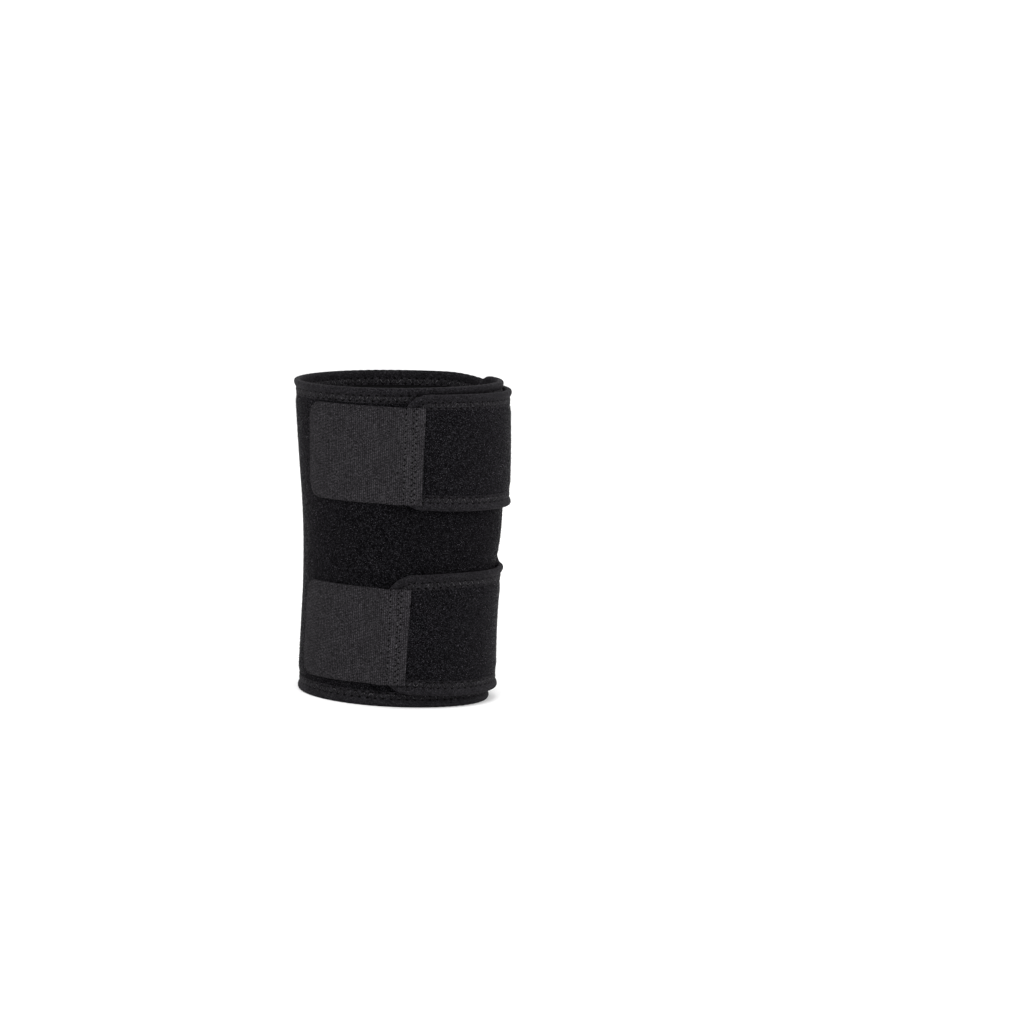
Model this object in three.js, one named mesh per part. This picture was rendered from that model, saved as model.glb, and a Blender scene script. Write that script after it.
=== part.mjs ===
// Shin wrap: a foam panel wound once round an open oval hollow, lapping over itself at the front.
// Two straps carry on from its outer end and close over the panel with sewn-on hook tabs, and
// folded tape binds every edge. Millimetres, +Z up, +X to the front, -Y to the outer side, with the
// origin under the middle of the standing wrap.
import * as THREE from "three";
import { toCreasedNormals } from "three/addons/utils/BufferGeometryUtils.js";

const { degToRad, mapLinear, smoothstep } = THREE.MathUtils;

// Thickness of the sheet goods, and the clearance between neighbouring pieces
const FOAM = 3.0;
const TAPE = 1.0;
const HOOK_TAPE = 1.5;
const GAP = 0.3;

// Bound edge: folded tape over foam that is pressed thin inside it
const TAPE_FACE = 8.0; // tape seen on each face
const TAPE_ROUND = 0.9; // rounding of the fold outside
const FOLD_ROUND = 0.5; // rounding of the fold inside
const FOAM_EDGE = 1.6; // from the fold to the cut edge of the foam
const PRESSED = 1.0; // thickness of the pressed foam
const PRESSED_BAND = 6.7; // width of the pressed foam, from its cut edge
const FULL_FOAM = 7.3; // where the foam has its full thickness, from its cut edge

// Layers, as distances out from the hollow
const BOUND = PRESSED + 2 * GAP + 2 * TAPE; // thickness of a bound edge
const PROUD = (BOUND - FOAM) / 2; // tape standing above the foam
const SECOND_LAYER = FOAM + 2 * PROUD + GAP; // inner face of the lapped layer
const TAB_ON_PANEL = FOAM + GAP; // inner face of a hook tab where it grips the panel
const TAB_ON_STRAP = SECOND_LAYER + FOAM + PROUD + GAP; // and where it is sewn to the strap

// Wind angles in degrees: 0 outer side, 90 back, 180 far side, 270 front, 360 outer side once more
const INNER_END = -130; // bound end of the panel, under the lap
const LIFT_START = 170; // the panel leaves the hollow here
const LIFT_END = 226; // and lies on its own inner end from here
const TRIM_START = 200; // its edges run in to the edges of the straps
const SEAM = 248; // the straps are butted and sewn to it here

// Facets: wind angle and height of one, and the heights between which the panel's own rows lie
const FACET = 7.5;
const ROW = 16;
const LOW_ROW = 24;
const HIGH_ROW = 150;
const CREASE = degToRad(35); // sharper edges stay creased

// Upper edge of the panel: a plane that rises to the front
const PANEL_TOP = 167.7;
const TOP_RISE = 0.05;

// Hollow: egg-shaped sections, narrower to the front, seen from a vertical wind axis
const WIND_AXIS = -3.5;
const FRONT_TAPER = 0.06;
const HOLLOW = [
  { height: 0, middle: -1.9, halfDepth: 47.6, halfWidth: 42.5 },
  { height: 30, middle: -2.7, halfDepth: 46.9, halfWidth: 43.0 },
  { height: 65, middle: -2.7, halfDepth: 47.2, halfWidth: 44.0 },
  { height: 88, middle: -2.2, halfDepth: 48.9, halfWidth: 45.2 },
  { height: 125, middle: -4.7, halfDepth: 50.7, halfWidth: 47.0 },
  { height: 165, middle: -8.0, halfDepth: 51.8, halfWidth: 49.0 },
  { height: 175, middle: -8.7, halfDepth: 52.1, halfWidth: 49.5 },
];

// Straps: edge heights, wind angle of the end, and how much each edge runs in towards the end
const STRAP_CORNER = 14;
const NARROWING_RUN = 45;
const STRAPS = [
  { name: "upper", low: 104.3, high: 165.5, end: 361.0, narrowing: 0.6 },
  { name: "lower", low: 6.4, high: 71.8, end: 364.2, narrowing: 1.6 },
];
const [UPPER, LOWER] = STRAPS;

// Hook tabs: lower edge, wind angle of the middle, length, and rise from the free end to the sewn one
const TABS = {
  upper: { low: 106.85, middle: 383.1, length: 65.5, rise: 1.5 },
  lower: { low: 12.05, middle: 387.6, length: 63.5, rise: 1.1 },
};
const TAB_HEIGHT = 50.5;
const TAB_CORNER = 8;
const TAB_RAMP = 10; // run of the step from the strap down to the panel
const TAB_FACET = 4.5; // length of one facet, short enough for that step

const LOOP_FOAM = { color: 0x1a1a1c, roughness: 0.95, metalness: 0 };
const BINDING = { color: 0x262528, roughness: 0.85, metalness: 0 };
const HOOK = { color: 0x2f2e30, roughness: 0.75, metalness: 0 };

const sections = new THREE.CubicInterpolant(
  HOLLOW.map((row) => row.height),
  HOLLOW.flatMap((row) => [row.middle, row.halfDepth, row.halfWidth]),
  3,
);

// Wall of the hollow: a ray from the wind axis meets the section's ellipse, drawn in beside the front
function hollowPoint(wind, height) {
  const [middle, halfDepth, halfWidth] = sections.evaluate(height);
  const forward = -Math.sin(degToRad(wind));
  const across = -Math.cos(degToRad(wind));
  const start = WIND_AXIS - middle;
  const a = (forward / halfDepth) ** 2 + (across / halfWidth) ** 2;
  const b = (start * forward) / halfDepth ** 2;
  const c = (start / halfDepth) ** 2 - 1;
  const reach = (-b + Math.sqrt(b * b - a * c)) / a;
  const taper = 1 - FRONT_TAPER * forward * across ** 2;
  return new THREE.Vector2(WIND_AXIS + reach * taper * forward, reach * taper * across);
}

// A point at a distance out from the wall of the hollow
function at(wind, height, out) {
  const wall = hollowPoint(wind, height);
  const behind = hollowPoint(wind - 0.5, height);
  const along = hollowPoint(wind + 0.5, height).sub(behind).normalize();
  return new THREE.Vector3(wall.x - along.y * out, wall.y + along.x * out, height);
}

function mmPerDegree(wind, height, out) {
  return at(wind - 0.5, height, out).distanceTo(at(wind + 0.5, height, out));
}

function lift(wind) {
  return SECOND_LAYER * smoothstep(wind, LIFT_START, LIFT_END);
}

function lowerEdge(wind) {
  return LOWER.low * smoothstep(wind, TRIM_START, SEAM);
}

function upperEdge(wind) {
  const plane = PANEL_TOP + TOP_RISE * hollowPoint(wind, PANEL_TOP).x;
  return plane + (UPPER.high - plane) * smoothstep(wind, TRIM_START, SEAM);
}

function spread(from, to, step) {
  const count = Math.max(1, Math.ceil(Math.abs(to - from) / step));
  return Array.from({ length: count + 1 }, (_, i) => from + ((to - from) * i) / count);
}

// Inset of a rounded corner's edge at a distance from the end, or of a line running inside that edge
function cornerInset(radius, fromEnd, inside = 0) {
  if (fromEnd >= radius) return inside;
  return radius - Math.sqrt(Math.max(0, (radius - inside) ** 2 - (radius - fromEnd) ** 2));
}

// Closed sheet from columns of rows, each row a point on the outer and one on the inner face
function sheet(columns) {
  const rows = columns[0].length;
  const points = columns.flat().flatMap((row) => [row.outer, row.inner]);
  const vertex = (column, row, side) => (column * rows + row) * 2 + side;
  const faces = [];
  const quad = (a, b, c, d) => faces.push([a, b, c], [a, c, d]);
  const last = columns.length - 1;
  for (let c = 0; c < last; c += 1) {
    for (let r = 0; r < rows - 1; r += 1) {
      quad(vertex(c, r, 0), vertex(c, r + 1, 0), vertex(c + 1, r + 1, 0), vertex(c + 1, r, 0));
      quad(vertex(c, r, 1), vertex(c + 1, r, 1), vertex(c + 1, r + 1, 1), vertex(c, r + 1, 1));
    }
    quad(vertex(c, 0, 0), vertex(c + 1, 0, 0), vertex(c + 1, 0, 1), vertex(c, 0, 1));
    const top = rows - 1;
    quad(vertex(c, top, 1), vertex(c + 1, top, 1), vertex(c + 1, top, 0), vertex(c, top, 0));
  }
  for (let r = 0; r < rows - 1; r += 1) {
    quad(vertex(0, r, 0), vertex(0, r, 1), vertex(0, r + 1, 1), vertex(0, r + 1, 0));
    quad(vertex(last, r, 0), vertex(last, r + 1, 0), vertex(last, r + 1, 1), vertex(last, r, 1));
  }
  const volume = faces.reduce(
    (sum, [a, b, c]) => sum + points[a].dot(points[b].clone().cross(points[c])),
    0,
  );
  const outward = volume > 0 ? faces : faces.map(([a, b, c]) => [a, c, b]);
  const geometry = new THREE.BufferGeometry().setFromPoints(points);
  geometry.setIndex(outward.flat());
  return toCreasedNormals(geometry, CREASE);
}

// A pair of points across foam whose middle lies halfway through its full thickness
function foamPair(wind, height, thickness) {
  const middle = lift(wind) + FOAM / 2;
  return {
    outer: at(wind, height, middle + thickness / 2),
    inner: at(wind, height, middle - thickness / 2),
  };
}

// Panel: pressed thin along its upper and lower edges, its inner end and the notch between the straps
function wrapPanel() {
  const body = spread(INNER_END + 2 * FACET, SEAM - 2 * FACET, FACET);
  const stations = [
    { wind: INNER_END, shift: 0, pressed: "all" },
    { wind: INNER_END, shift: PRESSED_BAND, pressed: "all" },
    { wind: INNER_END, shift: FULL_FOAM },
    ...body.map((wind) => ({ wind, shift: 0 })),
    { wind: SEAM, shift: -FULL_FOAM },
    { wind: SEAM, shift: -PRESSED_BAND, pressed: "notch" },
    { wind: SEAM, shift: 0, pressed: "notch" },
  ];
  const ramp = FULL_FOAM - PRESSED_BAND;
  const inner = [
    ...spread(LOW_ROW, LOWER.high - ramp, ROW),
    ...spread(LOWER.high, UPPER.low, ROW),
    ...spread(UPPER.low + ramp, HIGH_ROW, ROW),
  ];
  return sheet(
    stations.map(({ wind, shift, pressed }) => {
      const low = lowerEdge(wind) + FOAM_EDGE;
      const high = upperEdge(wind) - FOAM_EDGE;
      const rows = [
        { height: low, bound: true },
        { height: low + PRESSED_BAND, bound: true },
        { height: low + FULL_FOAM },
        ...inner.map((height) => ({ height })),
        { height: high - FULL_FOAM },
        { height: high - PRESSED_BAND, bound: true },
        { height: high, bound: true },
      ];
      return rows.map(({ height, bound }) => {
        const place = wind + shift / mmPerDegree(wind, height, lift(wind) + FOAM / 2);
        const inNotch = pressed === "notch" && height >= LOWER.high && height <= UPPER.low;
        const thin = bound || pressed === "all" || inNotch;
        return foamPair(place, height, thin ? PRESSED : FOAM);
      });
    }),
  );
}

function strapScale(strap) {
  return mmPerDegree(strap.end, (strap.low + strap.high) / 2, SECOND_LAYER + FOAM / 2);
}

function strapNarrowing(strap, fromEnd) {
  return strap.narrowing * (1 - smoothstep(fromEnd, 0, NARROWING_RUN));
}

// Strap: pressed thin along both edges and round its end, full and square at the seam
function strapFoam(strap) {
  const scale = strapScale(strap);
  const radius = STRAP_CORNER - FOAM_EDGE;
  const root = (strap.end - SEAM) * scale - FOAM_EDGE - GAP;
  const distances = [
    0, 0.1 * radius, 0.3 * radius, PRESSED_BAND, FULL_FOAM, 0.8 * radius, radius,
    ...spread(radius, root, FACET * scale).slice(1),
  ];
  const bands = [0, PRESSED_BAND, FULL_FOAM];
  return sheet(
    distances.map((fromEnd) => {
      const narrowing = strapNarrowing(strap, fromEnd + FOAM_EDGE) + FOAM_EDGE;
      const low = strap.low + narrowing;
      const high = strap.high - narrowing;
      const insets = bands.map((band) => cornerInset(radius, Math.max(fromEnd, FULL_FOAM), band));
      const full = [
        ...insets.map((inset) => low + inset),
        ...spread(low + insets[2], high - insets[2], ROW).slice(1, -1),
        ...insets.map((inset) => high - inset).reverse(),
      ];
      const edge = cornerInset(radius, fromEnd);
      const bottom = low + edge;
      const top = high - edge;
      const wind = strap.end - (fromEnd + FOAM_EDGE) / scale;
      return full.map((height, row) => {
        const bound = row < 2 || row > full.length - 3 || fromEnd < FULL_FOAM;
        const place = mapLinear(height, full[0], full.at(-1), bottom, top);
        return foamPair(wind, place, bound ? PRESSED : FOAM);
      });
    }),
  );
}

// Section of the folded tape from its outer lip over the fold to its inner lip, as distances in from
// the fold and out from the middle of the foam
const TAPE_HALF = [
  { outer: [TAPE_FACE, BOUND / 2], inner: [TAPE_FACE, BOUND / 2 - TAPE] },
  { outer: [TAPE_ROUND, BOUND / 2], inner: [TAPE + FOLD_ROUND, BOUND / 2 - TAPE] },
  { outer: [0, BOUND / 2 - TAPE_ROUND], inner: [TAPE, BOUND / 2 - TAPE - FOLD_ROUND] },
];
const mirrored = ([inward, out]) => [inward, -out];
const TAPE_SECTION = [
  ...TAPE_HALF,
  ...TAPE_HALF.map(({ outer, inner }) => ({ outer: mirrored(outer), inner: mirrored(inner) })).reverse(),
];

// Folded tape along a path of fold points, each with its direction in over the foam
function binding(path) {
  return sheet(
    path.map(({ wind, height, around, up }) => {
      const scale = mmPerDegree(wind, height, lift(wind) + FOAM / 2);
      const place = ([inward, out]) => {
        const turned = wind + (inward * around) / scale;
        return at(turned, height + inward * up, lift(turned) + FOAM / 2 + out);
      };
      return TAPE_SECTION.map(({ outer, inner }) => ({ outer: place(outer), inner: place(inner) }));
    }),
  );
}

function edgeBinding(edge, up) {
  const winds = spread(INNER_END, SEAM, FACET);
  return binding(winds.map((wind) => ({ wind, height: edge(wind), around: 0, up })));
}

// Upright tape past a cut end of the panel, between two heights
function endBinding(wind, around, low, high) {
  const scale = mmPerDegree(wind, (low + high) / 2, lift(wind) + FOAM / 2);
  const fold = wind - (around * FOAM_EDGE) / scale;
  return binding(spread(low, high, ROW).map((height) => ({ wind: fold, height, around, up: 0 })));
}

// Tape along the upper edge of a strap, round its end and back along the lower edge
function strapBinding(strap) {
  const scale = strapScale(strap);
  const root = (strap.end - SEAM) * scale - GAP;
  const straight = spread(root, STRAP_CORNER, FACET * scale).slice(0, -1);
  const turns = spread(90, 0, 15).map(degToRad);
  const quarter = [
    ...straight.map((fromEnd) => ({ fromEnd, inset: 0, around: 0, up: -1 })),
    ...turns.map((turn) => ({
      fromEnd: STRAP_CORNER * (1 - Math.cos(turn)),
      inset: STRAP_CORNER * (1 - Math.sin(turn)),
      around: -Math.cos(turn),
      up: -Math.sin(turn),
    })),
  ];
  const upper = quarter.map(({ fromEnd, inset, around, up }) => {
    const wind = strap.end - fromEnd / scale;
    return { wind, height: strap.high - strapNarrowing(strap, fromEnd) - inset, around, up };
  });
  const lower = upper.map(({ wind, height, around, up }) => {
    return { wind, height: strap.low + strap.high - height, around, up: -up };
  });
  return binding([...upper, ...lower.reverse()]);
}

// Hook tab: sewn flat on the end of the strap, then stepping down to grip the panel
function hookTab(strap) {
  const tab = TABS[strap.name];
  const scale = strapScale(strap);
  const step = strap.end + GAP / scale;
  const tabLift = (wind) => {
    const down = smoothstep(wind, step, step + TAB_RAMP / scale);
    return TAB_ON_STRAP + (TAB_ON_PANEL - TAB_ON_STRAP) * down;
  };
  const rounded = [0, 0.08, 0.3, 0.6, 1].map((part) => part * TAB_CORNER);
  const distances = [...rounded, ...spread(TAB_CORNER, tab.length, TAB_FACET).slice(1)];
  return sheet(
    distances.map((fromEnd) => {
      const inset = cornerInset(TAB_CORNER, fromEnd);
      const along = tab.length / 2 - fromEnd;
      const low = tab.low + inset - (tab.rise * along) / tab.length;
      return spread(0, 1, 1 / 3).map((part) => {
        const height = low + part * (TAB_HEIGHT - 2 * inset);
        const wind = tab.middle + along / mmPerDegree(tab.middle, height, TAB_ON_PANEL);
        const out = tabLift(wind);
        return { outer: at(wind, height, out + HOOK_TAPE), inner: at(wind, height, out) };
      });
    }),
  );
}

const wrap = new THREE.Group();

function addPiece(name, geometry, finish) {
  const piece = new THREE.Mesh(geometry, new THREE.MeshStandardMaterial(finish));
  piece.name = name;
  wrap.add(piece);
}

const clear = TAPE_FACE + GAP;
addPiece("wrap_panel", wrapPanel(), LOOP_FOAM);
addPiece("top_binding", edgeBinding(upperEdge, -1), BINDING);
addPiece("bottom_binding", edgeBinding(lowerEdge, 1), BINDING);
addPiece(
  "inner_end_binding",
  endBinding(INNER_END, 1, lowerEdge(INNER_END) + clear, upperEdge(INNER_END) - clear),
  BINDING,
);
addPiece("notch_binding", endBinding(SEAM, -1, LOWER.high + GAP, UPPER.low - GAP), BINDING);
for (const strap of STRAPS) {
  addPiece(`${strap.name}_strap`, strapFoam(strap), LOOP_FOAM);
  addPiece(`${strap.name}_strap_binding`, strapBinding(strap), BINDING);
  addPiece(`${strap.name}_hook_tab`, hookTab(strap), HOOK);
}

// Stand the wrap on the floor with the middle of its box over the origin
const box = new THREE.Box3().setFromObject(wrap);
const middle = box.getCenter(new THREE.Vector3());
wrap.position.set(-middle.x, -middle.y, -box.min.z);
wrap.updateMatrixWorld(true);

export default wrap;
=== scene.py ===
from functools import partial
from math import radians

import bpy
import numpy as np
from mathutils import Matrix, Vector


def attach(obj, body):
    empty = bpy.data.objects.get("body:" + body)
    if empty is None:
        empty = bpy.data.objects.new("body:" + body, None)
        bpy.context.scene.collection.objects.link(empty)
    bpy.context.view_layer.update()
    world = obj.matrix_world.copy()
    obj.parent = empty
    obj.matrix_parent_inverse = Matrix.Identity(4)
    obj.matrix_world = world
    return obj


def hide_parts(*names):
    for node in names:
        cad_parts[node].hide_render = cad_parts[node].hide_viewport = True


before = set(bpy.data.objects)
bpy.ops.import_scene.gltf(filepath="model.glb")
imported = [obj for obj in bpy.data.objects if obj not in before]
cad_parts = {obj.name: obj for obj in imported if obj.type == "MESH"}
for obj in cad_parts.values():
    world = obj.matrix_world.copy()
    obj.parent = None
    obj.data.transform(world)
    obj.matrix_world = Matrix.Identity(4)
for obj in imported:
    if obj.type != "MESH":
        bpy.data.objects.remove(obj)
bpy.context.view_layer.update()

# Camera: a long lens that looks at the outer side from a little above, turned a few degrees about its
# own line of sight. Focal length and place come from matching the wrap's outline in the photograph.
PICTURE = 1024
FOCAL_PIXELS = 3586
SENSOR = 36
CAMERA_PLACE = (0.05997, -1.88049, 0.34811)
CAMERA_PITCH = 82.5
CAMERA_ROLL = 3.5
CAMERA_REACH = 100
bpy.ops.object.camera_add()
camera = bpy.context.object
camera.data.sensor_width = SENSOR
camera.data.lens = SENSOR * FOCAL_PIXELS / PICTURE
camera.data.clip_end = CAMERA_REACH
camera.matrix_world = (
    Matrix.Translation(CAMERA_PLACE)
    @ Matrix.Rotation(radians(CAMERA_PITCH), 4, "X")
    @ Matrix.Rotation(radians(CAMERA_ROLL), 4, "Z")
)
bpy.context.scene.camera = camera

# Wrap panel: 3 mm neoprene foam with a brushed loop face outside and plain jersey inside. It is cut
# flat, wound once round an egg-shaped hollow, and laps over its own inner end at the front. Its edges
# are pressed thin where the edge tape is sewn on.
MM = 0.001
FOAM = 3.0 * MM
PRESSED = 1.0 * MM  # thickness of the foam inside a sewn tape
SWELL = 0.4 * MM  # how far the loops stand above the foam
FOAM_EDGE = 1.6 * MM  # from the fold of the tape to the cut edge of the foam
PRESS_START = 4.0 * MM  # the foam swells from here, measured from the fold
PRESS_END = 13.0 * MM  # and is at its full thickness here
SECOND_LAYER = 3.9 * MM  # inner face of the lapped layer, out from the hollow

# Winding places in degrees: 0 outer side, 90 back, 180 far side, 270 front, 360 outer side once more
INNER_END = -130  # end of the panel under the lap
LIFT_START = 170  # the panel leaves the hollow here
LIFT_END = 226  # and lies on its own inner end from here
TRIM_START = 200  # its edges run in to the edges of the straps
SEAM = 248  # the straps are butted and sewn to it here
EDGE_FREE = (0, 16)  # its upper edge comes free of the straps between these

PANEL_TOP = 167.7 * MM
TOP_RISE = 0.05  # slope of the upper edge, up towards the front
WIND_AXIS = -3.5 * MM  # the winding places turn about this, measured to the front
FRONT_TAPER = 0.06  # share by which the hollow is drawn in beside the front
STAND = (4.4961 * MM, 2.3835 * MM)  # puts the middle of the wrap over the origin
HOLLOW = MM * np.array([  # height, middle, half depth, half width
    (0, -1.9, 47.6, 42.5),
    (30, -2.7, 46.9, 43.0),
    (65, -2.7, 47.2, 44.0),
    (88, -2.2, 48.9, 45.2),
    (125, -4.7, 50.7, 47.0),
    (165, -8.0, 51.8, 49.0),
    (175, -8.7, 52.1, 49.5),
])

# Straps: heights of the edges, winding place of the end, and how far each edge runs in towards it.
# Their hook tabs: lower edge, winding place of the middle, length, and rise towards the sewn end.
UPPER = {
    "name": "upper", "low": 104.3 * MM, "high": 165.5 * MM, "end": 361.0, "narrowing": 0.6 * MM,
    "tab_low": 106.85 * MM, "tab_middle": 383.1, "tab_length": 65.5 * MM, "tab_rise": 1.5 * MM,
}
LOWER = {
    "name": "lower", "low": 6.4 * MM, "high": 71.8 * MM, "end": 364.2, "narrowing": 1.6 * MM,
    "tab_low": 12.05 * MM, "tab_middle": 387.6, "tab_length": 63.5 * MM, "tab_rise": 1.1 * MM,
}
STRAPS = (UPPER, LOWER)
CORNER = 14 * MM  # rounding of the straps' ends and of the panel's inner end
NOTCH_CORNER = 9 * MM  # rounding of the notch between the straps

EDGE_FLARE = 0.5 * MM  # how far a free edge stands out
FLARE_RUN = 6.0 * MM
SEAM_DIP = 0.3  # share of the thickness that the butt seam takes away
SEAM_DIP_RUN = 4 * MM
HAND = [  # waves in wound foam: radians for each degree round, run up for each radian, and start
    (0.105, 21 * MM, 0.0),
    (0.071, -13 * MM, 1.3),
    (0.043, 9 * MM, 0.6),
]
PANEL_HAND = 0.12 * MM  # size of the waves in the panel
HAND_RUN = 20 * MM  # the tape keeps the foam even this far in
SMOOTH_ANGLE = 40

PANEL_CUT = (0.166, 0.331)  # the flat panel, across and along
PANEL_COLUMNS = 208
PANEL_ROWS = 104
LOOP = 0.35 * MM  # one loop of the pile
# The lightest stops of the pile's shades are partly lighter fibres and partly painted glints
PILE_SHADES = [  # tone, and its colour
    (0.20, (0.0008, 0.0008, 0.0009)),
    (0.55, (0.0050, 0.0049, 0.0058)),
    (0.75, (0.0162, 0.0157, 0.0182)),
    (0.90, (0.0500, 0.0486, 0.0545)),
]
WALE = 0.9 * MM  # one column of stitches in the lining
COURSE = 0.7 * MM  # one row of them
FIBRE = 0.45 * MM  # how far a brushed-up fibre stands
FIBRE_ROOT = 0.06 * MM  # half its thickness
FIBRE_SINK = 0.05 * MM  # how deep it sits in the loops
FIBRE_LEAN = 0.5  # spread of its lean, as a share of its height
# The lightest fibre tone is partly lighter fibres and partly painted glints of fibres catching the light
FIBRE_TONES = [  # share of the fibres, and their colour
    (0.60, (0.0080, 0.0074, 0.0086)),
    (0.28, (0.0240, 0.0222, 0.0257)),
    (0.12, (0.1600, 0.1480, 0.1710)),
]
PANEL_FIBRES = 42000
PANEL_SEED = 1


def ease(value, start, end):
    t = np.clip((value - start) / (end - start), 0, 1)
    return t * t * (3 - 2 * t)


def hollow_section(height):
    """Middle, half depth and half width of the hollow, on a smooth curve through its sections."""
    knots = HOLLOW[:, 0]
    sizes = HOLLOW[:, 1:]
    slopes = np.gradient(sizes, knots, axis=0)
    left = np.clip(np.searchsorted(knots, height) - 1, 0, len(knots) - 2)
    span = (knots[left + 1] - knots[left])[..., None]
    t = (height - knots[left])[..., None] / span
    before = (1 + 2 * t) * sizes[left] + t * span * slopes[left]
    after = (3 - 2 * t) * sizes[left + 1] - (1 - t) * span * slopes[left + 1]
    return np.moveaxis((1 - t) ** 2 * before + t ** 2 * after, -1, 0)


def hollow_wall(wind, height):
    """Where a ray from the winding axis meets the hollow's section, drawn in beside the front."""
    middle, half_depth, half_width = hollow_section(height)
    forward = -np.sin(np.radians(wind))
    across = -np.cos(np.radians(wind))
    start = WIND_AXIS - middle
    a = (forward / half_depth) ** 2 + (across / half_width) ** 2
    b = start * forward / half_depth ** 2
    c = (start / half_depth) ** 2 - 1
    reach = (-b + np.sqrt(b * b - a * c)) / a
    reach = reach * (1 - FRONT_TAPER * forward * across ** 2)
    return np.stack([WIND_AXIS + reach * forward, reach * across], -1)


def wound(wind, height, out):
    """Points on the wound wrap: degrees round it, height, and distance out from the hollow."""
    wind, height, out = np.broadcast_arrays(np.float64(wind), np.float64(height), np.float64(out))
    wall = hollow_wall(wind, height)
    along = hollow_wall(wind + 0.5, height) - hollow_wall(wind - 0.5, height)
    along = along / np.linalg.norm(along, axis=-1, keepdims=True)
    x = STAND[0] + wall[..., 0] - along[..., 1] * out
    y = STAND[1] + wall[..., 1] + along[..., 0] * out
    return np.stack([x, y, height], -1)


def run_per_degree(wind, height, out):
    step = wound(wind + 0.5, height, out) - wound(wind - 0.5, height, out)
    return np.linalg.norm(step, axis=-1)


def lift(wind):
    """How far the panel and straps lie out from the hollow, on their first or second time round."""
    return SECOND_LAYER * ease(wind, LIFT_START, LIFT_END)


def lower_edge(wind):
    return LOWER["low"] * ease(wind, TRIM_START, SEAM)


def upper_edge(wind):
    plane = PANEL_TOP + TOP_RISE * hollow_wall(wind, np.full_like(wind, PANEL_TOP))[..., 0]
    return plane + (UPPER["high"] - plane) * ease(wind, TRIM_START, SEAM)


def pressed_foam(from_fold, through):
    """Distance of a face from the middle of the foam, which is pressed thin in the tape."""
    full = FOAM / 2 + np.where(through > 0, SWELL, 0)
    swollen = ease(from_fold, PRESS_START, PRESS_END)
    return np.sign(through) * (PRESSED / 2 + (full - PRESSED / 2) * swollen)


def seam_dip(from_seam):
    """Share of its thickness that the foam keeps beside the butt seam of panel and straps."""
    return 1 - SEAM_DIP * (1 - ease(from_seam, 0, SEAM_DIP_RUN))


def edge_flare(from_fold, freedom):
    return EDGE_FLARE * freedom * np.exp(-(from_fold / FLARE_RUN) ** 2)


def panel_freedom(wind):
    """1 where the panel's upper edge stands free, 0 where a layer lies on it."""
    return ease(wind, *EDGE_FREE) * (1 - ease(wind, LIFT_START, LIFT_END))


def corner_inset(radius, from_end):
    """How far a rounded corner's edge lies in from the side, at a distance from the end."""
    inside = np.clip(radius - from_end, 0, radius)
    return radius - np.sqrt(np.maximum(0, radius ** 2 - inside ** 2))


def from_rounded_edge(radius, from_end, from_side):
    """Distance from the edge of a piece with rounded corners."""
    in_corner = (from_end < radius) & (from_side < radius)
    from_corner = radius - np.hypot(radius - from_end, radius - from_side)
    return np.where(in_corner, from_corner, np.minimum(from_end, from_side))


def soft_hand(wind, height, size):
    """Slight unevenness of wound foam."""
    waves = [np.sin(turn * wind + height / run + start) for turn, run, start in HAND]
    return size * sum(waves) / len(HAND)


inner_end_scale = float(run_per_degree(INNER_END, UPPER["low"], FOAM / 2))
seam_scale = float(run_per_degree(SEAM, UPPER["low"], SECOND_LAYER + FOAM / 2))
notch_fold = SEAM + FOAM_EDGE / seam_scale


def on_panel(along, up, through):
    """Winding place, height and distance out, for a place in the flat panel."""
    wind = SEAM - along * (SEAM - INNER_END)
    low = lower_edge(wind)
    high = upper_edge(wind)
    from_end = (wind - INNER_END) * inner_end_scale
    inset = FOAM_EDGE + corner_inset(CORNER - FOAM_EDGE, from_end)
    height = low + inset + up * (high - low - 2 * inset)
    from_side = np.minimum(height - low, high - height) - FOAM_EDGE
    from_fold = FOAM_EDGE + from_rounded_edge(CORNER - FOAM_EDGE, from_end, from_side)
    past_corner = np.maximum(height - UPPER["low"], LOWER["high"] - height) + NOTCH_CORNER
    before_notch = (notch_fold - wind) * seam_scale + NOTCH_CORNER
    from_notch = np.hypot(before_notch, np.maximum(0, past_corner)) - NOTCH_CORNER
    from_fold = np.minimum(from_fold, from_notch)
    face = pressed_foam(from_fold, through) * seam_dip((SEAM - wind) * seam_scale)
    middle = lift(wind) + FOAM / 2 + edge_flare(high - height, panel_freedom(wind))
    middle = middle + soft_hand(wind, height, PANEL_HAND) * ease(from_fold, 0, HAND_RUN)
    return wind, height, middle + face


def under_lap(wind, height):
    """True where the panel's own outer end or a strap lies on the panel."""
    over = wind + 360
    covered = over < SEAM
    for strap in STRAPS:
        on_strap_height = (height > strap["low"]) & (height < strap["high"])
        covered = covered | ((over < strap["end"]) & on_strap_height)
    return covered


def flat_slab(name, columns, rows):
    """A flat closed slab, one unit each way, to be cut to shape and wound: its places along and up from
    0 to 1, and through from -0.5 inside to 0.5 outside."""
    bpy.ops.object.select_all(action="DESELECT")
    bpy.ops.mesh.primitive_grid_add(x_subdivisions=columns, y_subdivisions=rows, size=1)
    slab = bpy.context.object
    slab.name = name
    slab.data.name = name
    bpy.ops.object.modifier_add(type="SOLIDIFY")
    slab.modifiers[-1].thickness = 1
    slab.modifiers[-1].offset = 0
    bpy.ops.object.modifier_apply(modifier=slab.modifiers[-1].name)
    place = np.empty(len(slab.data.vertices) * 3, np.float32)
    slab.data.vertices.foreach_get("co", place)
    place = place.reshape(-1, 3).astype(np.float64)
    return slab, place[:, 0] + 0.5, place[:, 1] + 0.5, place[:, 2]


def make_outward(piece):
    """Turns all faces outward and leaves the piece selected."""
    bpy.ops.object.select_all(action="DESELECT")
    piece.select_set(True)
    bpy.context.view_layer.objects.active = piece
    bpy.ops.object.mode_set(mode="EDIT")
    bpy.ops.mesh.select_all(action="SELECT")
    bpy.ops.mesh.normals_make_consistent(inside=False)
    bpy.ops.object.mode_set(mode="OBJECT")


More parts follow.
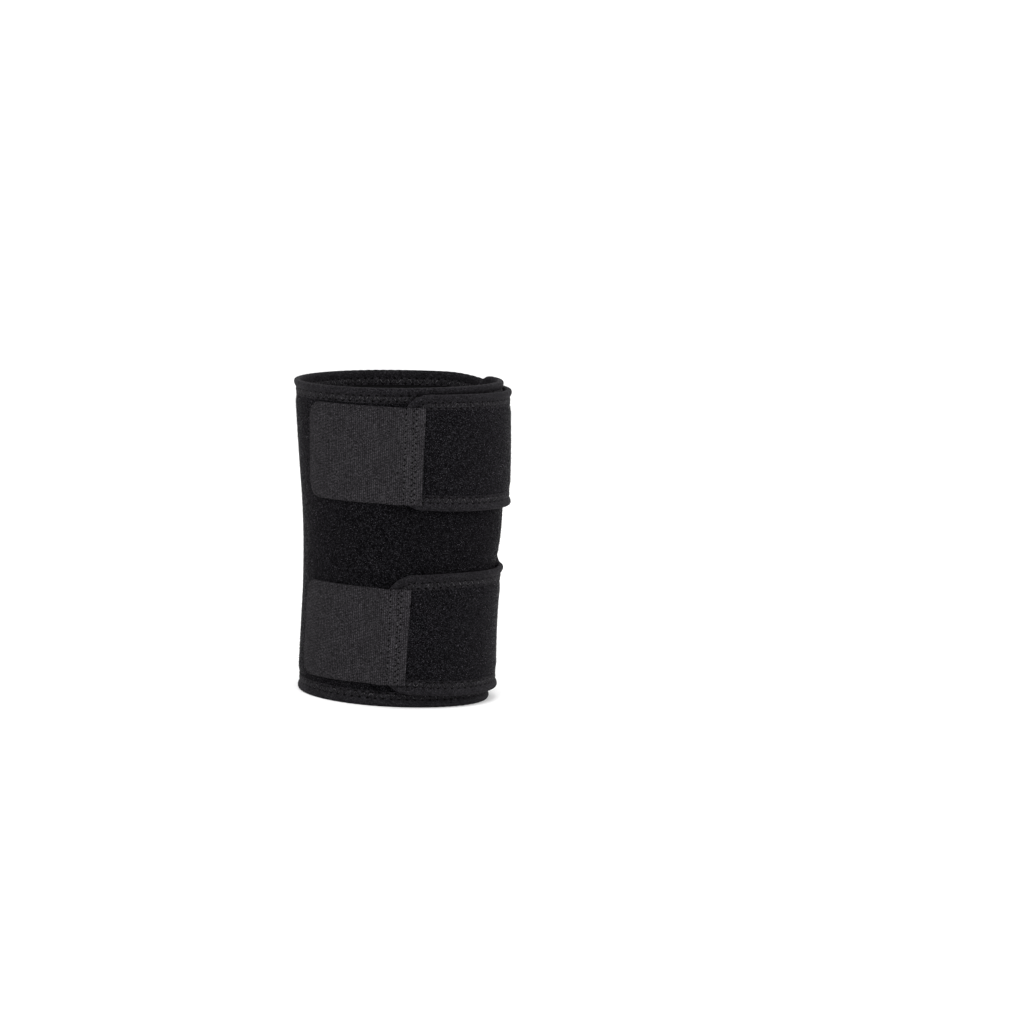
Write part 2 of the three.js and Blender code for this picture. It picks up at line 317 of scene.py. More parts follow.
def wind_on(slab, points, flat):
    """Puts a cut slab where it is wound, with its flat pattern in metres as its UV map."""
    mesh = slab.data
    mesh.vertices.foreach_set("co", points.astype(np.float32).ravel())
    corners = np.empty(len(mesh.loops), np.int32)
    mesh.loops.foreach_get("vertex_index", corners)
    mesh.uv_layers[0].name = "flat"
    mesh.uv_layers[0].data.foreach_set("uv", flat[corners].astype(np.float32).ravel())
    mesh.update()
    make_outward(slab)
    bpy.ops.object.shade_smooth_by_angle(angle=radians(SMOOTH_ANGLE))


def joined_mesh(name, points, faces):
    """A new piece from the points and faces of many small copies, which rides with the wrap."""
    mesh = bpy.data.meshes.new(name)
    mesh.from_pydata(points.reshape(-1, 3).tolist(), [], faces)
    piece = bpy.data.objects.new(name, mesh)
    bpy.context.collection.objects.link(piece)
    make_outward(piece)
    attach(piece, "root")
    return piece


def finish_named(name, settings):
    """A new material with plain settings on its shader, its node tree, and the shader."""
    material = bpy.data.materials.new(name)
    material.use_nodes = True
    shader = material.node_tree.nodes["Principled BSDF"]
    for socket, value in settings.items():
        shader.inputs[socket].default_value = value
    return material, material.node_tree, shader


def add_node(tree, kind, **settings):
    node = tree.nodes.new(kind)
    for name, value in settings.items():
        setattr(node, name, value)
    return node


def solid_place(tree):
    """The place in the wrap itself, in metres."""
    return add_node(tree, "ShaderNodeTexCoord").outputs["Object"]


def flat_place(tree):
    """The place in the flat pattern, in metres, and its two coordinates."""
    flat = add_node(tree, "ShaderNodeUVMap", uv_map="flat").outputs["UV"]
    split = add_node(tree, "ShaderNodeSeparateXYZ")
    tree.links.new(flat, split.inputs[0])
    return flat, split.outputs["X"], split.outputs["Y"]


def work_out(tree, operation, first, second=0.0, third=0.0):
    node = add_node(tree, "ShaderNodeMath", operation=operation)
    for socket, value in zip(node.inputs, (first, second, third)):
        if isinstance(value, (int, float)):
            socket.default_value = value
        else:
            tree.links.new(value, socket)
    return node.outputs[0]


def zigzag_of(tree, value, pitch):
    """Rises from 0 to 0.5 and falls again over each pitch of a value."""
    return work_out(tree, "PINGPONG", work_out(tree, "MULTIPLY", value, 1 / pitch), 0.5)


def noise_at(tree, place, per_metre, detail=2.0, roughness=0.5):
    node = add_node(tree, "ShaderNodeTexNoise")
    node.inputs["Scale"].default_value = per_metre
    node.inputs["Detail"].default_value = detail
    node.inputs["Roughness"].default_value = roughness
    tree.links.new(place, node.inputs["Vector"])
    return node.outputs["Fac"]


def tufts_at(tree, place, sizes, randomness=1.0):
    """Small rounded tufts: a random value from 0 to 1 for each, and its height, 1 on top and 0 beside."""
    scaled = add_node(tree, "ShaderNodeMapping")
    scaled.inputs["Scale"].default_value = [1 / size for size in sizes]
    tree.links.new(place, scaled.inputs["Vector"])
    node = add_node(tree, "ShaderNodeTexVoronoi")
    node.inputs["Scale"].default_value = 1
    node.inputs["Randomness"].default_value = randomness
    tree.links.new(scaled.outputs["Vector"], node.inputs["Vector"])
    split = add_node(tree, "ShaderNodeSeparateColor")
    tree.links.new(node.outputs["Color"], split.inputs["Color"])
    square = work_out(tree, "MULTIPLY", node.outputs["Distance"], node.outputs["Distance"])
    dome = work_out(tree, "MAXIMUM", work_out(tree, "MULTIPLY_ADD", square, -1.3, 1.0), 0.0)
    return split.outputs["Red"], dome


def graded(tree, value, stops):
    """Colour of a value, from (value, colour) stops."""
    node = add_node(tree, "ShaderNodeValToRGB")
    ramp = node.color_ramp
    while len(ramp.elements) < len(stops):
        ramp.elements.new(0.5)
    for element, (position, colour) in zip(ramp.elements, stops):
        element.position = position
        element.color = (*colour, 1)
    tree.links.new(value, node.inputs["Fac"])
    return node.outputs["Color"]


def darkened(tree, shade, light):
    """A shade multiplied by the light that reaches it."""
    node = add_node(tree, "ShaderNodeMix", data_type="RGBA", blend_type="MULTIPLY")
    node.inputs["Factor"].default_value = 1
    # The colour sockets go by number, because each kind of value has an A and a B
    tree.links.new(shade, node.inputs[6])
    tree.links.new(light, node.inputs[7])
    return node.outputs[2]


def raised(tree, shader, height, depth):
    node = add_node(tree, "ShaderNodeBump")
    node.inputs["Strength"].default_value = 1
    node.inputs["Distance"].default_value = depth
    tree.links.new(height, node.inputs["Height"])
    tree.links.new(node.outputs["Normal"], shader.inputs["Normal"])


def loop_pile(name, lightness, shine):
    """Brushed loops: deep black with light specks of random tone, lighter where seen along the surface.
    Each loop's colour is darkened towards its sides as painted shade between the loops, and the lightest
    specks are partly lighter fibres and partly painted glints.
    """
    material, tree, shader = finish_named(name, {
        "Base Color": (0.004, 0.004, 0.0045, 1),
        "Specular IOR Level": shine,
        "Specular Tint": (0.95, 0.86, 1.0, 1),
        "Sheen Weight": 0.012,
        "Sheen Roughness": 0.18,
        "Sheen Tint": (0.96, 0.80, 1.0, 1),
    })
    place = solid_place(tree)
    loops, dome = tufts_at(tree, place, [LOOP] * 3)
    grain = noise_at(tree, place, per_metre=2400, roughness=0.65)
    patches = noise_at(tree, place, per_metre=70)
    tone = work_out(tree, "MULTIPLY_ADD", patches, 0.05, loops)
    tone = work_out(tree, "MULTIPLY_ADD", grain, 0.5, tone)
    shades = [(position, [part * lightness for part in colour]) for position, colour in PILE_SHADES]
    shade = graded(tree, work_out(tree, "MULTIPLY", tone, 0.65), shades)
    # Painted shade: the colour is multiplied by each loop's dome, so it darkens into the gaps between the
    # loops
    tree.links.new(darkened(tree, shade, dome), shader.inputs["Base Color"])
    gloss = work_out(tree, "MULTIPLY_ADD", noise_at(tree, place, per_metre=900), 1.6, -0.3)
    tree.links.new(gloss, shader.inputs["Roughness"])
    raised(tree, shader, work_out(tree, "MULTIPLY_ADD", grain, 0.6, dome), depth=0.3 * MM)
    return material


def jersey():
    """Smooth knitted lining: rows of fine V-shaped stitches, with the colour darker where the stitches lie
    low, as painted shade between them.
    """
    material, tree, shader = finish_named("jersey", {
        "Base Color": (0.004, 0.004, 0.0043, 1),
        "Roughness": 0.85,
        "Specular IOR Level": 0.03,
        "Sheen Weight": 0.02,
    })
    _, across, along = flat_place(tree)
    wale = zigzag_of(tree, across, WALE)
    rows = work_out(tree, "MULTIPLY", along, 1 / COURSE)
    course = work_out(tree, "PINGPONG", work_out(tree, "MULTIPLY_ADD", wale, 0.9, rows), 0.5)
    height = work_out(tree, "MULTIPLY", course, work_out(tree, "ADD", wale, 0.3))
    # Painted shade: the colour follows the stitches' height, darker in the hollows between them
    shade = graded(tree, height, [(0.0, (0.0012, 0.0012, 0.0014)), (0.4, (0.0085, 0.0083, 0.009))])
    tree.links.new(shade, shader.inputs["Base Color"])
    raised(tree, shader, height, depth=0.25 * MM)
    return material


def pile_fibre(number, colour):
    settings = {"Base Color": (*colour, 1), "Roughness": 0.7, "Specular IOR Level": 0.1}
    return finish_named(f"pile_fibre_{number}", settings)[0]


lining = jersey()
fibre_finishes = [pile_fibre(number, colour) for number, (_, colour) in enumerate(FIBRE_TONES, 1)]


def face_foam(slab, through, pile):
    """Loop pile on the outer face and the edges, jersey on the inner face."""
    slab.data.materials.append(pile)
    slab.data.materials.append(lining)
    for face in slab.data.polygons:
        if all(through[vertex] < 0 for vertex in face.vertices):
            face.material_index = 1


def brush_up(name, place, cut, count, seed, covered=None):
    """Single fibres drawn up from the loops by brushing: short and leaning, all over the bare outer face
    of a piece of foam of a given cut size, in one mesh."""
    chance = np.random.default_rng(seed)
    along, up = chance.random((2, 2 * count, 1))
    if covered:
        wind, height, _ = place(along, up, np.full_like(along, 0.5))
        bare = ~covered(wind, height)[:, 0]
        along, up = along[bare], up[bare]
    along, up = along[:count], up[:count]
    turn = 2 * np.pi * (chance.random((count, 1)) + np.array([[0, 1 / 3, 2 / 3]]))
    lean = chance.normal(0, FIBRE_LEAN, (2, count, 1)) * FIBRE
    tall = FIBRE * (0.5 + chance.random((count, 1)))
    root_along = np.clip(along + FIBRE_ROOT * np.cos(turn) / cut[1], 0, 1)
    root_up = np.clip(up + FIBRE_ROOT * np.sin(turn) / cut[0], 0, 1)
    wind, height, out = place(root_along, root_up, np.full((count, 3), 0.5))
    roots = wound(wind, height, out - FIBRE_SINK)
    tip_along = np.clip(along + lean[0] / cut[1], 0, 1)
    tip_up = np.clip(up + lean[1] / cut[0], 0, 1)
    wind, height, out = place(tip_along, tip_up, np.full((count, 1), 0.5))
    points = np.concatenate([roots, wound(wind, height, out + tall)], 1)
    first = 4 * np.arange(count)[:, None, None]
    faces = first + np.array([[0, 1, 3], [1, 2, 3], [2, 0, 3], [2, 1, 0]])
    fibres = joined_mesh(name, points, faces.reshape(-1, 3).tolist())
    for finish in fibre_finishes:
        fibres.data.materials.append(finish)
    tone = chance.choice(len(FIBRE_TONES), count, p=[share for share, _ in FIBRE_TONES])
    fibres.data.polygons.foreach_set("material_index", np.repeat(tone, 4).astype(np.int32))
    return fibres


panel, along, up, through = flat_slab("foam_panel", PANEL_COLUMNS, PANEL_ROWS)
wind, height, out = on_panel(along, up, through)
flat = np.stack([(wind - INNER_END) * inner_end_scale, height], -1)
wind_on(panel, wound(wind, height, out), flat)
face_foam(panel, through, loop_pile("loop_pile", lightness=1.0, shine=0.0048))
panel_fibres = brush_up("panel_fibres", on_panel, PANEL_CUT, PANEL_FIBRES, PANEL_SEED, under_lap)
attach(panel, "root")
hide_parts("wrap_panel")

# Panel binding: soft knitted edge tape folded over each cut edge of the panel and sewn through with
# zigzag thread. The fold is a full round bead, and the seam pulls the tape down beside it.
TAPE = 0.5 * MM  # its thickness
TAPE_FACE = MM * np.array([  # distance in from the fold, and out from the middle of the foam
    (8.0, 1.42),
    (7.4, 1.40),
    (6.9, 1.26),
    (6.3, 1.36),
    (5.5, 1.36),
    (4.8, 1.18),
    (4.3, 0.98),
    (3.8, 1.22),
    (3.1, 1.60),
    (1.9, 1.90),
    (0.9, 1.76),
    (0.25, 1.30),
    (0.0, 0.55),
])
FACE_START = 0.7 * MM  # past the fold the outer face lies further out than this
INNER_BEAD = 0.85  # the bead is flatter on the inner face
BEAD_END = 3.5 * MM  # and ends here, in from the fold
BEAD_REACH = 3.0 * MM  # the stitches ripple the bead this far
RIPPLE = 0.07 * MM
RIPPLE_RUN = 17 * MM  # the ripple comes and goes over this
TAPE_ROWS = 54
TAPE_STEP = 0.7 * MM
KNIT = (0.42 * MM, 0.36 * MM, 1)  # one stitch of it, along and across; a flat pattern has no depth
ZIGZAG = 4.1 * MM  # one full zigzag along the tape
ZIGZAG_ROWS = (4.3 * MM, 6.9 * MM)  # needle rows, in from the fold
ZIGZAG_STARTS = (0.0, 0.5)  # and where their holes start, in zigzags
NEEDLE = 0.5 * MM  # size of a needle hole
NEEDLE_WANDER = 0.13 * MM  # how far a hole lies off its place
NEEDLE_DENT = 0.22 * MM  # how far the tape is drawn down at a hole
DENT_REACH = 0.9 * MM
THREAD = 0.28 * MM  # its thickness
THREAD_IN_HOLE = 0.55  # share of that where it goes in
THREAD_DIVE = 1.3  # and how deep it goes in, in thicknesses
THREAD_FLAT = 0.8  # flatter than wide
THREAD_BED = 0.1 * MM  # how deep it lies in the cloth
TAPE_STITCH_RISE = 0.22 * MM  # how far a stitch bows up
OUTER = 1
INNER = -1
TAPE_CLEAR = 0.05 * MM  # between the ends of two tapes
SEAM_CLEAR = 0.06  # the same at the seam, in degrees
EDGE_POINTS = 380
END_POINTS = 160
CORNER_POINTS = 25
NOTCH_LEAD = 3 * MM  # straight tape beside each corner of the notch
LEAD_POINTS = 4


def rounded_run(points, passes=2):
    """A line of points with its corners cut off, ends kept."""
    for _ in range(passes):
        near = 0.75 * points[:-1] + 0.25 * points[1:]
        far = 0.25 * points[:-1] + 0.75 * points[1:]
        cut = np.stack([near, far], 1).reshape(-1, 2)
        points = np.concatenate([points[:1], cut, points[-1:]])
    return points


def run_along(points):
    """Distance along a line of points."""
    return np.concatenate([[0], np.cumsum(np.linalg.norm(np.diff(points, axis=0), axis=1))])


in_from_fold, outward = TAPE_FACE[::-1].T
inward = np.where(in_from_fold > BEAD_END, -outward, -INNER_BEAD * outward)
tape_line = rounded_run(np.concatenate([TAPE_FACE, np.stack([in_from_fold, inward], -1)]))
tape_run = run_along(tape_line)
fold_at = np.interp(0, -tape_line[:, 1], tape_run)
tape_run = fold_at - tape_run  # positive on the outer face, negative on the inner one
tape_out = np.gradient(tape_line, axis=0)
tape_out = np.stack([tape_out[:, 1], -tape_out[:, 0]], -1)
tape_out = tape_out / np.linalg.norm(tape_out, axis=1, keepdims=True)
outer_lip = tape_run[0]
inner_lip = tape_run[-1]
on_face = tape_line[:, 1] > FACE_START
needle_runs = [
    float(np.interp(-row, -tape_line[on_face, 0], tape_run[on_face]))
    for row in ZIGZAG_ROWS
]


def across_tape(run):
    """Place in the tape's section and its outward direction, for a distance from the fold."""
    order = slice(None, None, -1)
    place = [np.interp(run, tape_run[order], tape_line[order, i]) for i in (0, 1)]
    outward = [np.interp(run, tape_run[order], tape_out[order, i]) for i in (0, 1)]
    return np.stack(place, -1), np.stack(outward, -1)


def tape_path(wind, height, around, up, freedom):
    """Fold line of a tape: places, direction in over the foam, and how freely the edge stands."""
    wind, height, around, up, freedom = np.broadcast_arrays(wind, height, around, up, freedom)
    out = lift(wind) + FOAM / 2
    return {
        "along": run_along(wound(wind, height, out)),
        "wind": wind,
        "height": height,
        "around": around / run_per_degree(wind, height, out),
        "up": up,
        "freedom": freedom,
    }


def on_tape(path, along, run, proud):
    """Points on a folded tape: distance along it, distance from its fold, and height above its face."""
    at = {part: np.interp(along, path["along"], path[part]) for part in path}
    place, outward = across_tape(run)
    place = place + outward * np.asarray(proud)[..., None]
    wind = at["wind"] + place[..., 0] * at["around"]
    height = at["height"] + place[..., 0] * at["up"]
    out = lift(wind) + FOAM / 2 + place[..., 1] + edge_flare(place[..., 0], at["freedom"])
    return wound(wind, height, out)


def needle_dents(along, run):
    """How far the tape is drawn down at the needle holes of both its faces."""
    dent = 0
    for row, start in zip(needle_runs, ZIGZAG_STARTS):
        from_hole = np.abs((along / ZIGZAG + start + 0.5) % 1 - 0.5) * ZIGZAG
        from_row = np.abs(run) - row
        dent = dent + NEEDLE_DENT * np.exp(-(from_hole ** 2 + from_row ** 2) / DENT_REACH ** 2)
    return dent


def needle_row(tree, along, across, row, pitch, start):
    """Distance from the nearest hole of one needle row in a flat pattern."""
    wander = noise_at(tree, solid_place(tree), per_metre=210, detail=1.0)
    wander = work_out(tree, "MULTIPLY_ADD", wander, 2 * NEEDLE_WANDER, -NEEDLE_WANDER)
    turns = work_out(tree, "MULTIPLY_ADD", work_out(tree, "ADD", along, wander), 1 / pitch, start)
    off_hole = work_out(tree, "MULTIPLY", work_out(tree, "PINGPONG", turns, 0.5), pitch)
    off_row = work_out(tree, "SUBTRACT", work_out(tree, "ADD", across, wander), row)
    square = work_out(tree, "MULTIPLY", off_hole, off_hole)
    return work_out(tree, "SQRT", work_out(tree, "MULTIPLY_ADD", off_row, off_row, square))


def pierced(tree, shade, distances, needle):
    """The shade with its needle holes, of a given size, painted near black as painted shade inside the
    holes.
    """
    nearest = distances[0]
    for distance in distances[1:]:
        nearest = work_out(tree, "MINIMUM", nearest, distance)
    light = graded(tree, work_out(tree, "DIVIDE", nearest, 2 * needle), [
        (0.45, (0.01, 0.01, 0.01)),
        (0.85, (1, 1, 1)),
    ])
    return darkened(tree, shade, light)


def knitted_tape():
    """Edge tape: a fine soft knit, darkened between its stitches as painted shade, with its needle holes
    painted dark as painted shade where the zigzag passes through.
    """
    material, tree, shader = finish_named("knitted_tape", {
        "Base Color": (0.009, 0.0088, 0.0096, 1),
        "Roughness": 0.6,
        "Specular IOR Level": 0.012,
        "Specular Tint": (0.96, 0.91, 1.0, 1),
        "Sheen Weight": 0.015,
        "Sheen Roughness": 0.5,
        "Sheen Tint": (0.97, 0.89, 1.0, 1),
    })
    flat, along, across = flat_place(tree)
    from_fold = work_out(tree, "ABSOLUTE", across)
    fuzz, dome = tufts_at(tree, flat, KNIT, randomness=0.8)
    broad = noise_at(tree, solid_place(tree), per_metre=120)
    tone = work_out(tree, "MULTIPLY_ADD", broad, 0.2, work_out(tree, "MULTIPLY", fuzz, 0.8))
    shade = graded(tree, tone, [
        (0.15, (0.0050, 0.0047, 0.0054)),
        (0.55, (0.0145, 0.0138, 0.0157)),
        (0.80, (0.0255, 0.0243, 0.0274)),
        (0.95, (0.0420, 0.0402, 0.0450)),
    ])
    # Painted shade: the colour is multiplied by each stitch's dome, darker between the stitches
    shade = darkened(tree, shade, dome)
    holes = [
        needle_row(tree, along, from_fold, row, ZIGZAG, start)
        for row, start in zip(needle_runs, ZIGZAG_STARTS)
    ]
    tree.links.new(pierced(tree, shade, holes, NEEDLE), shader.inputs["Base Color"])
    raised(tree, shader, dome, depth=0.15 * MM)
    return material


def sewing_thread():
    """Black polyester thread: a slight gloss, twisted, with lighter patches painted on as painted glints.
    """
    material, tree, shader = finish_named("sewing_thread", {
        "Base Color": (0.010, 0.0098, 0.0105, 1),
        "Roughness": 0.5,
        "Specular IOR Level": 0.12,
    })
    twist_and_glints = noise_at(tree, solid_place(tree), per_metre=700, detail=3.0)
    # Painted glints: the lighter stops of the thread's shades stand in for light caught by the thread
    shade = graded(tree, twist_and_glints, [
        (0.42, (0.0060, 0.0058, 0.0063)),
        (0.54, (0.0200, 0.0195, 0.0208)),
        (0.68, (0.075, 0.073, 0.077)),
    ])
    tree.links.new(shade, shader.inputs["Base Color"])
    raised(tree, shader, twist_and_glints, depth=0.1 * MM)
    return material


def one_stitch():
    """A short thread with four cuts across it, one unit long and thick, modelled once."""
    bpy.ops.object.select_all(action="DESELECT")
    bpy.ops.mesh.primitive_cylinder_add(vertices=6, radius=0.5, depth=1)
    stitch = bpy.context.object
    bpy.ops.object.mode_set(mode="EDIT")
    for cut in (-0.38, -0.15, 0.15, 0.38):
        bpy.ops.mesh.select_all(action="SELECT")
        bpy.ops.mesh.bisect(plane_co=(0, 0, cut), plane_no=(0, 0, 1))
    bpy.ops.object.mode_set(mode="OBJECT")
    points = np.array([tuple(vertex.co) for vertex in stitch.data.vertices])
    faces = [list(face.vertices) for face in stitch.data.polygons]
    bpy.data.objects.remove(stitch)
    return points, faces


tape_finish = knitted_tape()
thread_finish = sewing_thread()
stitch_points, stitch_faces = one_stitch()


def sew(name, sunk, above, rise):
    """Copies of the one stitch from each needle hole to the next, in one mesh. Each hole is given by the
    point where the thread goes in and one straight above it."""
    outward = (above - sunk) / np.linalg.norm(above - sunk, axis=1, keepdims=True)
    start = sunk[:-1, None]
    run = sunk[1:, None] - start
    up = outward[:-1, None] + outward[1:, None]
    up = up / np.linalg.norm(up, axis=-1, keepdims=True)
    side = np.cross(run, up)
    side = side / np.linalg.norm(side, axis=-1, keepdims=True)
    t = stitch_points[None, :, 2:] + 0.5
    full = np.sqrt(np.clip(4 * t * (1 - t), 0, 1))
    thick = THREAD * (THREAD_IN_HOLE + (1 - THREAD_IN_HOLE) * full)
    bow = rise * full - THREAD_DIVE * THREAD * (1 - full)
    points = start + run * t + side * stitch_points[None, :, :1] * thick
    points = points + up * (stitch_points[None, :, 1:2] * thick * THREAD_FLAT + bow)
    count = len(stitch_points)
    faces = [[vertex + count * i for vertex in face] for i in range(len(points)) for face in stitch_faces]
    thread = joined_mesh(name, points, faces)
    thread.data.materials.append(thread_finish)
    bpy.ops.object.shade_smooth()
    return thread


def zigzag_on_tape(name, path, faces):
    """Zigzag thread along the outer face of a tape, and along the inner one where that is seen."""
    turns = np.arange(1, int(path["along"][-1] / (0.5 * ZIGZAG))) * 0.5 * ZIGZAG
    rows = np.where(np.arange(1, len(turns) + 1) % 2 == 0, *needle_runs)
    threads = []
    for face in faces:
        sunk = on_tape(path, turns, face * rows, -THREAD_BED)
        above = on_tape(path, turns, face * rows, MM - THREAD_BED)
        ending = "stitches" if face == OUTER else "inner_stitches"
        threads.append(sew(f"{name}_{ending}", sunk, above, TAPE_STITCH_RISE))
    return threads


def bind(name, path, faces=(OUTER,)):
    """Folded and sewn tape along a path, in place of its CAD node."""
    length = float(path["along"][-1])
    tape_name = name.replace("binding", "edge_tape")
    tape, along, over, through = flat_slab(tape_name, round(length / TAPE_STEP), TAPE_ROWS)
    along = along * length
    run = inner_lip + over * (outer_lip - inner_lip)
    ripple = np.cos(2 * np.pi * along / ZIGZAG) * np.sin(along / RIPPLE_RUN)
    ripple = ripple * np.exp(-(run / BEAD_REACH) ** 2)
    proud = (through - 0.5) * TAPE - needle_dents(along, run) + RIPPLE * ripple
    points = on_tape(path, along, run, proud)
    points[:, 2] = np.maximum(points[:, 2], 0)  # the lowest fold lies flat on the floor
    wind_on(tape, points, np.stack([along, run], -1))
    tape.data.materials.append(tape_finish)
    threads = zigzag_on_tape(name, path, faces)
    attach(tape, "root")
    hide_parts(name)


def side_and_corner(straight):
    """Fold line along a side and round the corner at its end, from places along the side: distance from
    the end, inset from the side, and the shares of the direction in over the foam, from end and side."""
    turn = np.radians(np.linspace(90, 0, CORNER_POINTS))
    level = np.zeros(len(straight))
    from_end = np.concatenate([straight, CORNER * (1 - np.cos(turn))])
    inset = np.concatenate([level, CORNER * (1 - np.sin(turn))])
    around = np.concatenate([level, np.cos(turn)])
    inward = np.concatenate([level + 1, np.sin(turn)])
    return from_end, inset, around, inward


inner_fold = INNER_END - FOAM_EDGE / inner_end_scale
panel_run = (SEAM - SEAM_CLEAR - inner_fold) * inner_end_scale
from_end, inset, around, inward = side_and_corner(np.linspace(panel_run, CORNER, EDGE_POINTS)[:-1])
wind = inner_fold + from_end / inner_end_scale
top_path = tape_path(wind, upper_edge(wind) - inset, around, -inward, panel_freedom(wind))
bottom_path = tape_path(wind, lower_edge(wind) + inset, around, inward, 0.0)
bind("top_binding", top_path, faces=(OUTER, INNER))
bind("bottom_binding", bottom_path, faces=(OUTER, INNER))

end_top = float(upper_edge(np.array([inner_fold]))[0]) - CORNER
end_heights = np.linspace(CORNER + TAPE_CLEAR, end_top - TAPE_CLEAR, END_POINTS)
bind("inner_end_binding", tape_path(inner_fold, end_heights, 1.0, 0.0, 0.0), faces=(OUTER, INNER))

notch_wind = notch_fold + NOTCH_CORNER / seam_scale
notch_start = notch_wind + NOTCH_LEAD / seam_scale
turn = np.radians(np.linspace(90, 180, CORNER_POINTS))
lead_winds = np.linspace(notch_start, notch_wind, LEAD_POINTS + 1)[:-1]
half_winds = np.concatenate([lead_winds, notch_wind + NOTCH_CORNER * np.cos(turn) / seam_scale])
half_heights = np.concatenate([np.zeros(LEAD_POINTS), NOTCH_CORNER * (1 - np.sin(turn))])
half_around = np.concatenate([np.zeros(LEAD_POINTS), np.cos(turn)])
half_up = np.concatenate([np.ones(LEAD_POINTS), np.sin(turn)])
bind("notch_binding", tape_path(
    np.concatenate([half_winds, half_winds[::-1]]),
    np.concatenate([UPPER["low"] - half_heights, LOWER["high"] + half_heights[::-1]]),
    np.concatenate([half_around, half_around[::-1]]),
    np.concatenate([half_up, -half_up[::-1]]),
    1.0,
))

# Straps: two tongues of the same loop-faced foam, butted to the outer end of the panel and held there
# by zigzag thread across the joint. They go on round the front and over the outer side, taper a
# little, and end in rounded corners.
NARROWING_RUN = 45 * MM  # the edges run in over this length before the end
STRAP_HAND = 0.1 * MM  # size of the waves in a strap
SEAM_GAP = 0.1 * MM  # between the panel and a strap
SEAM_ZIGZAG = 3.2 * MM
SEAM_WIDTH = 5.0 * MM
SEAM_END = 9 * MM  # from a strap's edge to the end of its seam, clear of the tape
SEAM_STITCH_RISE = 0.25 * MM
TAB_PRESS = (-5 * MM, 1 * MM, 50 * MM, 56 * MM)  # the tab's press grows and fades between these heights
TAB_PRESS_RUN = (-24, -16)  # and grows between these places along the strap, in degrees from its end
STRAP_COLUMNS = 92
STRAP_ROWS = 56
COLUMN_CROWDING = 1.25  # columns lie closer together at the rounded end
STRAP_FIBRES = 9000
STRAP_SEED = 11


def strap_scale(strap):
    middle = (strap["low"] + strap["high"]) / 2
    return float(run_per_degree(strap["end"], middle, SECOND_LAYER + FOAM / 2))


def strap_narrowing(strap, from_end):
    return strap["narrowing"] * (1 - ease(from_end, 0, NARROWING_RUN))


def strap_foam_length(strap):
    return (strap["end"] - SEAM) * strap_scale(strap) - FOAM_EDGE - SEAM_GAP


def under_tab(strap, wind, height):
    """1 where the hook tab lies on the strap, 0 away from it."""
    climb = height - strap["tab_low"]
    covered = ease(climb, *TAB_PRESS[:2]) * (1 - ease(climb, *TAB_PRESS[2:]))
    return covered * ease(wind - strap["end"], *TAB_PRESS_RUN)


def on_strap(strap, along, up, through):
    """Winding place, height and distance out, for a place in a flat strap."""
    length = strap_foam_length(strap)
    from_end = length * along ** COLUMN_CROWDING
    wind = strap["end"] - (from_end + FOAM_EDGE) / strap_scale(strap)
    low = strap["low"] + strap_narrowing(strap, from_end + FOAM_EDGE)
    high = strap["high"] - strap_narrowing(strap, from_end + FOAM_EDGE)
    inset = FOAM_EDGE + corner_inset(CORNER - FOAM_EDGE, from_end)
    height = low + inset + up * (high - low - 2 * inset)
    from_side = np.minimum(height - low, high - height) - FOAM_EDGE
    from_fold = FOAM_EDGE + from_rounded_edge(CORNER - FOAM_EDGE, from_end, from_side)
    past_corner = (height - low if strap is UPPER else high - height) + NOTCH_CORNER
    before_notch = np.maximum(0, (notch_wind - wind) * seam_scale)
    from_fold = np.where(before_notch > 0, np.minimum(
        np.hypot(before_notch, past_corner) - NOTCH_CORNER,
        high - height if strap is UPPER else height - low,
    ), from_fold)
    face = pressed_foam(from_fold, through) * seam_dip(length - from_end)
    middle = lift(wind) + FOAM / 2 + edge_flare(from_fold, 1 - under_tab(strap, wind, height))
    middle = middle + soft_hand(wind, height, STRAP_HAND) * ease(from_fold, 0, HAND_RUN)
    return wind, height, middle + face


def sew_seam(strap):
    """Zigzag thread across the butt seam of a strap, clear of the tapes."""
    climb = np.arange(strap["low"] + SEAM_END, strap["high"] - SEAM_END, SEAM_ZIGZAG / 2)
    off_seam = np.where(np.arange(len(climb)) % 2 == 0, -0.5, 0.5) * SEAM_WIDTH
    out = SECOND_LAYER + FOAM / 2 + (FOAM / 2 + SWELL) * seam_dip(np.abs(off_seam))
    wind = SEAM + off_seam / seam_scale
    sunk = wound(wind, climb, out - THREAD_BED)
    above = wound(wind, climb, out + MM - THREAD_BED)
    return sew(f"{strap['name']}_seam_stitches", sunk, above, SEAM_STITCH_RISE)


# Painted light: the straps' pile is a copy of the panel's pile made 1.25 times lighter
strap_pile_lit = loop_pile("strap_loop_pile_lit", lightness=1.25, shine=0.0074)
for strap in STRAPS:
    name = f"{strap['name']}_strap"
    cut = (round(strap["high"] - strap["low"] - 2 * FOAM_EDGE, 4), round(strap_foam_length(strap), 4))
    tongue, along, up, through = flat_slab(f"{name}_foam", STRAP_COLUMNS, STRAP_ROWS)
    wind, height, out = on_strap(strap, along, up, through)
    flat = np.stack([(strap["end"] - wind) * strap_scale(strap), height], -1)
    wind_on(tongue, wound(wind, height, out), flat)
    face_foam(tongue, through, strap_pile_lit)
    fibres = brush_up(f"{name}_fibres", partial(on_strap, strap), cut, STRAP_FIBRES, STRAP_SEED)
    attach(tongue, "root")
    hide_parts(name)
    sew_seam(strap)

